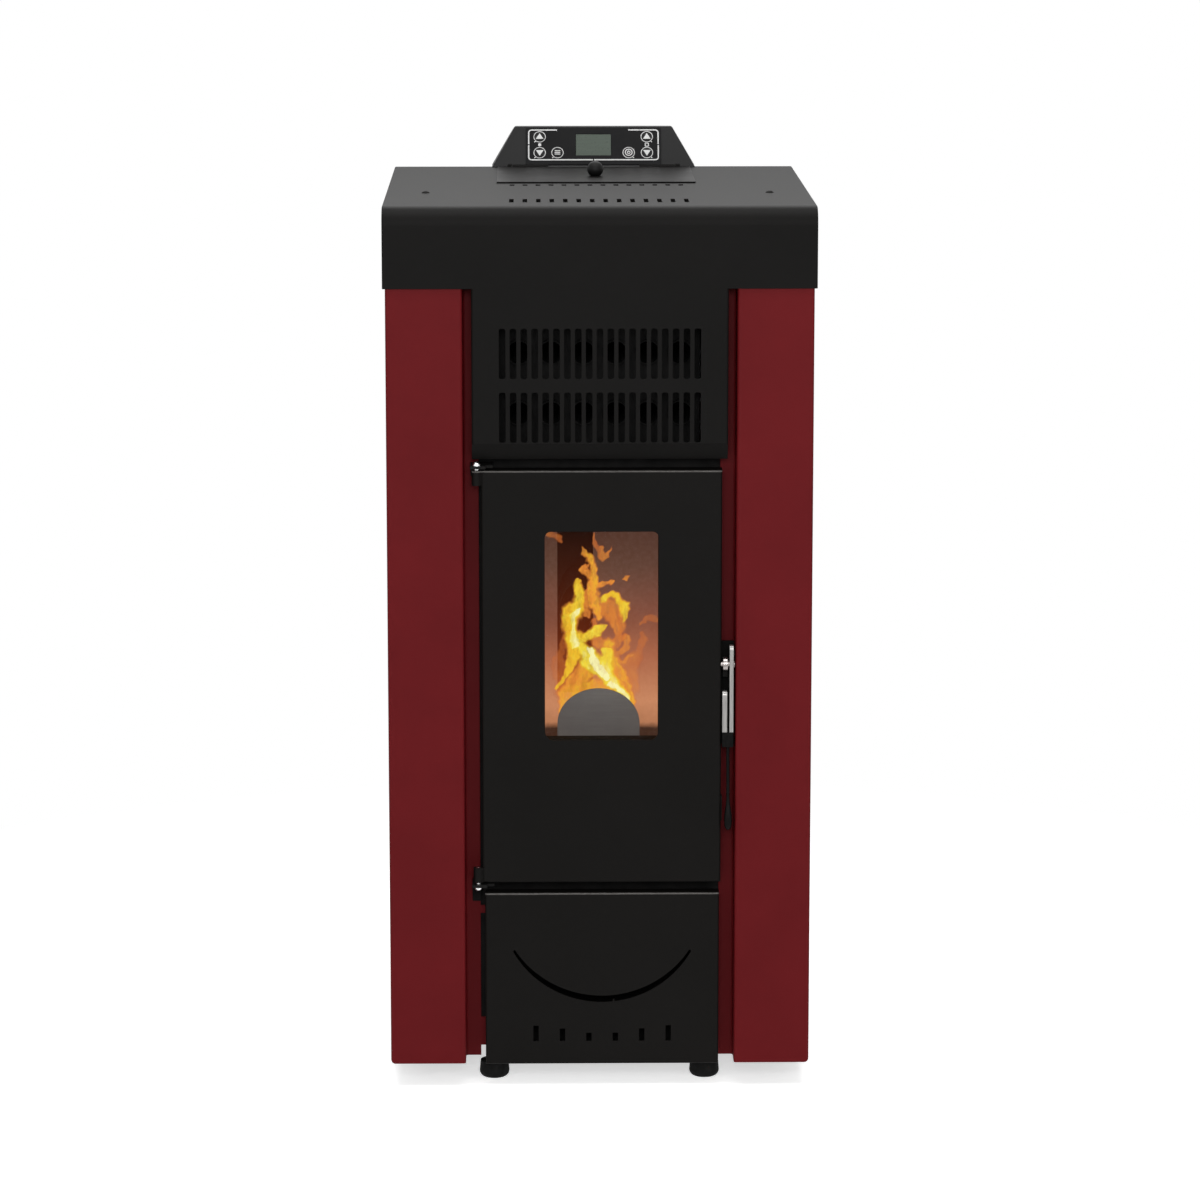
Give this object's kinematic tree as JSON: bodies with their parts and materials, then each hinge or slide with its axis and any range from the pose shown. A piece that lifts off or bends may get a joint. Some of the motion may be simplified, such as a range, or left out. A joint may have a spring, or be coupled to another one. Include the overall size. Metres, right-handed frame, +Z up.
{
  "type": "pellet stove",
  "caption": "Free-standing pellet stove: black folded cover, red side panels, glazed fire door with lever, ash door, hinged hopper lid, tilted keypad and a rear flue.",
  "frame": {"origin": "on the floor under the middle of the stove's box, flue and handle included", "axes": "+X to the stove's right seen from the front, +Y from its front to its back, +Z up"},
  "size_m": [0.48, 0.5866, 1.0468],
  "materials": {
    "black_paint": "satin powder coat",
    "red_paint": "satin powder coat",
    "galvanised": "matt galvanised sheet",
    "heat_black": "matt heat-resistant paint",
    "cast_iron": "raw casting",
    "raw_steel": "heat-stained steel",
    "fire_board": "pressed mineral board",
    "ceramic_glass": "clear ceramic glass",
    "rope": "woven rope",
    "chrome": "polished",
    "motor_metal": "cast, matt",
    "rubber": "matt",
    "black_plastic": "fine grain",
    "pod_plastic": "satin",
    "panel_gloss": "gloss film",
    "lcd": "clear window over a grey-green display",
    "board_green": "solder mask"
  },
  "bodies": {
    "cabinet": {"top_cover": "black_paint", "cover_screws": "black_paint", "left_side_panel": "red_paint", "right_side_panel": "red_paint", "rear_panel": "galvanised", "base_plate": "heat_black", "levelling_feet": "rubber", "foot_studs": "galvanised", "front_frame": "heat_black", "firebox_shell": "raw_steel", "firebox_liners": "fire_board", "baffle_plate": "raw_steel", "igniter": "raw_steel", "exchanger_shell": "heat_black", "exchanger_tubes": "raw_steel", "ash_pan": "galvanised", "hopper": "galvanised", "hopper_grid": "galvanised", "auger_tube": "raw_steel", "auger_motor": "motor_metal", "pellet_chute": "raw_steel", "smoke_duct": "galvanised", "smoke_fan_housing": "galvanised", "smoke_fan_motor": "motor_metal", "flue_spigot": "raw_steel", "air_intake_pipe": "galvanised", "blower_housing": "galvanised", "blower_motor": "motor_metal", "air_duct": "galvanised", "hinge_pins": "chrome", "latch_catch": "black_paint", "control_pod": "pod_plastic", "control_panel": "panel_gloss", "lcd_display": "lcd", "circuit_board": "board_green", "power_inlet": "black_plastic"},
    "fire_door": {"fire_door_panel": "black_paint", "door_inner_frame": "heat_black", "door_glass": "ceramic_glass", "glass_retainers": "galvanised", "door_rope_seal": "rope", "handle_pivot_pin": "chrome"},
    "roller": {"latch_roller": "chrome"},
    "door_handle": {"handle_lever": "black_paint"},
    "ash_door": {"ash_door_panel": "black_paint"},
    "lid": {"hopper_lid": "black_paint", "lid_knob": "black_plastic", "lid_seal": "rubber"},
    "fire_pot": {"burn_pot": "cast_iron", "ember_plate": "raw_steel"},
    "auger": {"auger_screw": "raw_steel"},
    "smoke_fan": {"smoke_impeller": "raw_steel"},
    "blower": {"blower_rotor": "galvanised"},
    "mains_switch": {"rocker_switch": "black_plastic"},
    "key_left_up_cap": {"key_left_up": "black_plastic"},
    "key_left_down_cap": {"key_left_down": "black_plastic"},
    "key_set_cap": {"key_set": "black_plastic"},
    "key_power_cap": {"key_power": "black_plastic"},
    "key_right_up_cap": {"key_right_up": "black_plastic"},
    "key_right_down_cap": {"key_right_down": "black_plastic"}
  },
  "joints": [
    {"name": "fire_door_hinge", "type": "hinge", "parent": "cabinet", "child": "fire_door", "pos_m": [-0.137, -0.2817, 0.472], "axis": [0, 0, -1], "range_deg": [0, 110]},
    {"name": "roller_spin", "type": "hinge", "parent": "fire_door", "child": "roller", "pos_m": [0.1405, -0.2817, 0.487], "axis": [1, 0, 0], "continuous": true},
    {"name": "handle_turn", "type": "hinge", "parent": "fire_door", "child": "door_handle", "pos_m": [0.1474, -0.2817, 0.487], "axis": [-1, 0, 0], "range_deg": [0, 60]},
    {"name": "ash_door_hinge", "type": "hinge", "parent": "cabinet", "child": "ash_door", "pos_m": [-0.121, -0.2657, 0.13], "axis": [0, 0, -1], "range_deg": [0, 90]},
    {"name": "lid_hinge", "type": "hinge", "parent": "cabinet", "child": "lid", "pos_m": [0, 0.2093, 1.001], "axis": [-1, 0, 0], "range_deg": [0, 80]},
    {"name": "pot_lift", "type": "slide", "parent": "cabinet", "child": "fire_pot", "axis": [0, 0, 1], "range_m": [0, 0.06]},
    {"name": "auger_spin", "type": "hinge", "parent": "cabinet", "child": "auger", "pos_m": [-0.025, 0.1483, 0.47], "axis": [0, -0.7071, 0.7071], "continuous": true},
    {"name": "smoke_fan_spin", "type": "hinge", "parent": "cabinet", "child": "smoke_fan", "pos_m": [-0.12, 0.1083, 0.19], "axis": [1, 0, 0], "continuous": true},
    {"name": "blower_spin", "type": "hinge", "parent": "cabinet", "child": "blower", "pos_m": [0.13, 0.1083, 0.19], "axis": [1, 0, 0], "continuous": true},
    {"name": "switch_rock", "type": "hinge", "parent": "cabinet", "child": "mains_switch", "pos_m": [0.197, 0.2243, 0.114], "axis": [-1, 0, 0], "range_deg": [0, 14]},
    {"name": "key_left_up_press", "type": "slide", "parent": "cabinet", "child": "key_left_up_cap", "axis": [0, 0.866, -0.5], "range_m": [0, 0.0008], "stiffness_N_per_m": 600},
    {"name": "key_left_down_press", "type": "slide", "parent": "cabinet", "child": "key_left_down_cap", "axis": [0, 0.866, -0.5], "range_m": [0, 0.0008], "stiffness_N_per_m": 600},
    {"name": "key_set_press", "type": "slide", "parent": "cabinet", "child": "key_set_cap", "axis": [0, 0.866, -0.5], "range_m": [0, 0.0008], "stiffness_N_per_m": 600},
    {"name": "key_power_press", "type": "slide", "parent": "cabinet", "child": "key_power_cap", "axis": [0, 0.866, -0.5], "range_m": [0, 0.0008], "stiffness_N_per_m": 600},
    {"name": "key_right_up_press", "type": "slide", "parent": "cabinet", "child": "key_right_up_cap", "axis": [0, 0.866, -0.5], "range_m": [0, 0.0008], "stiffness_N_per_m": 600},
    {"name": "key_right_down_press", "type": "slide", "parent": "cabinet", "child": "key_right_down_cap", "axis": [0, 0.866, -0.5], "range_m": [0, 0.0008], "stiffness_N_per_m": 600}
  ]
}
